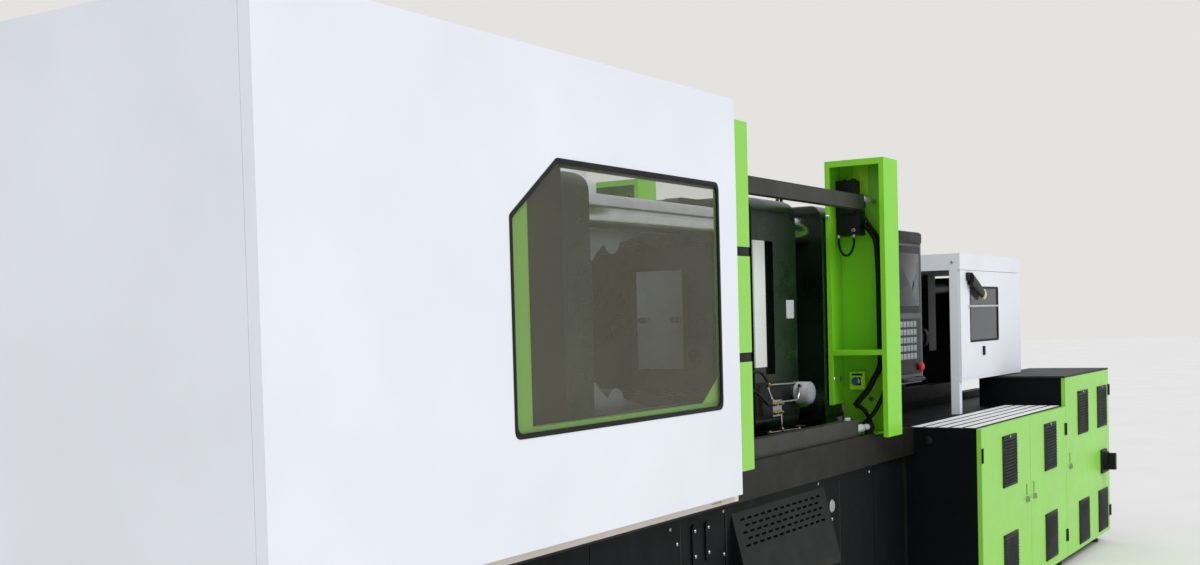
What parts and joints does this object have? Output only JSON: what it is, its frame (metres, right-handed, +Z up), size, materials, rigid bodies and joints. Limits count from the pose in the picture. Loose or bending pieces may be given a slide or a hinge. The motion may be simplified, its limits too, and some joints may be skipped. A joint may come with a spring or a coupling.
{
  "type": "injection moulding machine",
  "caption": "Injection moulding machine with a toggle clamp behind sliding window doors, a moving platen on tie bars, an injection unit under a guard, cabinets and a turning operator panel.",
  "frame": {"origin": "middle of the machine's footprint, on the floor", "axes": "+X along the machine towards the injection end, -Y towards the operator, +Z up"},
  "size_m": [6.492, 1.97, 2.017],
  "materials": {
    "green_paint": "satin",
    "white_paint": "satin",
    "cream_paint": "satin",
    "black_paint": "satin",
    "dark_top": "matte",
    "platen_green": "painted",
    "rail_dark": "satin",
    "bare_steel": "ground",
    "dark_steel": "machined",
    "chromed_bar": "polished",
    "strip_white": "matte",
    "panel_grey": "satin",
    "black_plastic": "matte",
    "blue_plastic": "gloss",
    "red_plastic": "gloss",
    "smoked_pane": "polished"
  },
  "bodies": {
    "machine": {"clamp_frame": "black_paint", "frame_panels": "black_paint", "vent_hood": "black_paint", "levelling_mounts": "dark_top", "stationary_platen": "platen_green", "tie_bars": "chromed_bar", "tie_bar_nuts": "dark_steel", "end_cover": "white_paint", "side_covers": "white_paint", "top_cover": "white_paint", "door_sill": "cream_paint", "door_rails": "rail_dark", "columns": "green_paint", "limit_switch": "black_plastic", "column_cables": "black_plastic", "button_box": "green_paint", "injection_frame": "black_paint", "cabinet_shell": "black_paint", "cabinet_top": "dark_top", "deck_strips": "strip_white", "pump_cover": "black_paint", "injection_guard": "white_paint", "panel_post": "panel_grey"},
    "tail_stock": {"tail_stock": "platen_green", "clamp_cylinder": "black_paint", "adjusting_nuts": "dark_steel"},
    "moving_platen": {"moving_platen": "platen_green", "platen_shoes": "dark_steel", "lubrication_block": "bare_steel"},
    "rear_link_upper": {"rear_link_upper": "dark_steel"},
    "rear_link_lower": {"rear_link_lower": "dark_steel"},
    "front_link_upper": {"front_link_upper": "dark_steel"},
    "front_link_lower": {"front_link_lower": "dark_steel"},
    "crosshead": {"crosshead": "dark_steel"},
    "crosshead_link_upper": {"crosshead_link_upper": "dark_steel"},
    "crosshead_link_lower": {"crosshead_link_lower": "dark_steel"},
    "ejector": {"ejector": "bare_steel"},
    "front_door": {"front_door": "white_paint", "door_frame": "green_paint", "door_glass": "smoked_pane"},
    "rear_door": {"rear_door": "white_paint", "rear_glass": "smoked_pane"},
    "reset_button": {"reset_button": "blue_plastic"},
    "carriage": {"carriage": "black_paint", "barrel": "dark_steel", "heater_bands": "bare_steel", "injection_cylinders": "black_paint"},
    "thrust_plate": {"thrust_plate": "black_paint"},
    "screw": {"screw": "chromed_bar"},
    "guard_door": {"guard_door": "white_paint", "guard_glass": "smoked_pane"},
    "operator_panel": {"operator_panel": "panel_grey"},
    "emergency_stop": {"emergency_stop": "red_plastic"},
    "cabinet_door_1": {"cabinet_door_1": "green_paint"},
    "cabinet_door_2": {"cabinet_door_2": "green_paint"},
    "cabinet_door_3": {"cabinet_door_3": "green_paint"},
    "cabinet_lock_1": {"cabinet_lock_1": "bare_steel"},
    "cabinet_lock_2": {"cabinet_lock_2": "bare_steel"},
    "cabinet_lock_3": {"cabinet_lock_3": "bare_steel"},
    "main_switch": {"main_switch": "black_plastic"}
  },
  "joints": [
    {"name": "mould_height", "type": "slide", "parent": "machine", "child": "tail_stock", "axis": [1, 0, 0], "range_m": [-0.35, 0]},
    {"name": "clamp_stroke", "type": "slide", "parent": "tail_stock", "child": "moving_platen", "axis": [1, 0, 0], "range_m": [-0.4238, 0.0296]},
    {"name": "rear_toggle_upper", "type": "hinge", "parent": "tail_stock", "child": "rear_link_upper", "pos_m": [-1.43038, 0, 1.71], "axis": [0, 1, 0], "range_deg": [-5.46, 78.01]},
    {"name": "rear_toggle_lower", "type": "hinge", "parent": "tail_stock", "child": "rear_link_lower", "pos_m": [-1.43038, 0, 0.94], "axis": [0, 1, 0], "range_deg": [-78.01, 5.46]},
    {"name": "front_toggle_upper", "type": "hinge", "parent": "rear_link_upper", "child": "front_link_upper", "pos_m": [-1.13908, 0, 1.60397], "axis": [0, 1, 0], "range_deg": [-102.43, 7.16]},
    {"name": "front_toggle_lower", "type": "hinge", "parent": "rear_link_lower", "child": "front_link_lower", "pos_m": [-1.13908, 0, 1.04603], "axis": [0, 1, 0], "range_deg": [-7.16, 102.43]},
    {"name": "crosshead_stroke", "type": "slide", "parent": "tail_stock", "child": "crosshead", "axis": [1, 0, 0], "range_m": [-0.2164, 0.0152]},
    {"name": "crosshead_link_turn_upper", "type": "hinge", "parent": "crosshead", "child": "crosshead_link_upper", "pos_m": [-1.19368, 0, 1.41], "axis": [0, 1, 0], "range_deg": [-13.37, 0.94]},
    {"name": "crosshead_link_turn_lower", "type": "hinge", "parent": "crosshead", "child": "crosshead_link_lower", "pos_m": [-1.19368, 0, 1.24], "axis": [0, 1, 0], "range_deg": [-0.94, 13.37]},
    {"name": "ejector_stroke", "type": "slide", "parent": "moving_platen", "child": "ejector", "axis": [1, 0, 0], "range_m": [0, 0.15]},
    {"name": "front_door_slide", "type": "slide", "parent": "machine", "child": "front_door", "axis": [1, 0, 0], "range_m": [0, 1.27]},
    {"name": "rear_door_slide", "type": "slide", "parent": "machine", "child": "rear_door", "axis": [1, 0, 0], "range_m": [-1.27, 0]},
    {"name": "reset_press", "type": "slide", "parent": "machine", "child": "reset_button", "axis": [1, 0, 0], "range_m": [0, 0.006], "stiffness_N_per_m": 300, "springref_m": -0.003},
    {"name": "carriage_slide", "type": "slide", "parent": "machine", "child": "carriage", "axis": [1, 0, 0], "range_m": [0, 0.35]},
    {"name": "screw_stroke", "type": "slide", "parent": "carriage", "child": "thrust_plate", "axis": [1, 0, 0], "range_m": [0, 0.25]},
    {"name": "screw_turn", "type": "hinge", "parent": "thrust_plate", "child": "screw", "pos_m": [2, 0, 1.325], "axis": [1, 0, 0], "continuous": true},
    {"name": "guard_slide", "type": "slide", "parent": "machine", "child": "guard_door", "axis": [1, 0, 0], "range_m": [-0.35, 0]},
    {"name": "panel_turn", "type": "hinge", "parent": "machine", "child": "operator_panel", "pos_m": [0.96, -0.4, 1.3], "axis": [0, 0, 1], "range_deg": [-40, 40]},
    {"name": "stop_press", "type": "slide", "parent": "operator_panel", "child": "emergency_stop", "axis": [0, 1, 0], "range_m": [0, 0.008]},
    {"name": "cabinet_hinge_1", "type": "hinge", "parent": "machine", "child": "cabinet_door_1", "pos_m": [0.7255, -0.919, 0.447], "axis": [0, 0, 1], "range_deg": [-110, 0]},
    {"name": "cabinet_hinge_2", "type": "hinge", "parent": "machine", "child": "cabinet_door_2", "pos_m": [2.2095, -0.919, 0.447], "axis": [0, 0, 1], "range_deg": [0, 90]},
    {"name": "cabinet_hinge_3", "type": "hinge", "parent": "machine", "child": "cabinet_door_3", "pos_m": [3.2395, -0.919, 0.519], "axis": [0, 0, 1], "range_deg": [0, 110]},
    {"name": "lock_turn_1", "type": "hinge", "parent": "cabinet_door_1", "child": "cabinet_lock_1", "pos_m": [1.439, -0.915, 0.451], "axis": [0, 1, 0], "range_deg": [0, 90]},
    {"name": "lock_turn_2", "type": "hinge", "parent": "cabinet_door_2", "child": "cabinet_lock_2", "pos_m": [1.565, -0.915, 0.451], "axis": [0, 1, 0], "range_deg": [0, 90]},
    {"name": "lock_turn_3", "type": "hinge", "parent": "cabinet_door_3", "child": "cabinet_lock_3", "pos_m": [2.291, -0.915, 0.518], "axis": [0, 1, 0], "range_deg": [0, 90]},
    {"name": "switch_turn", "type": "hinge", "parent": "cabinet_door_3", "child": "main_switch", "pos_m": [3.075, -0.915, 0.469], "axis": [0, 1, 0], "range_deg": [0, 90]}
  ],
  "couplings": [
    {"joint": "rear_toggle_upper", "follows": "clamp_stroke", "rad_per_m": -3.2123},
    {"joint": "rear_toggle_lower", "follows": "clamp_stroke", "rad_per_m": 3.2123},
    {"joint": "front_toggle_upper", "follows": "clamp_stroke", "rad_per_m": 4.2178},
    {"joint": "front_toggle_lower", "follows": "clamp_stroke", "rad_per_m": -4.2178},
    {"joint": "crosshead_stroke", "follows": "clamp_stroke", "ratio": 0.5103},
    {"joint": "crosshead_link_turn_upper", "follows": "clamp_stroke", "rad_per_m": 0.5503},
    {"joint": "crosshead_link_turn_lower", "follows": "clamp_stroke", "rad_per_m": -0.5503}
  ]
}
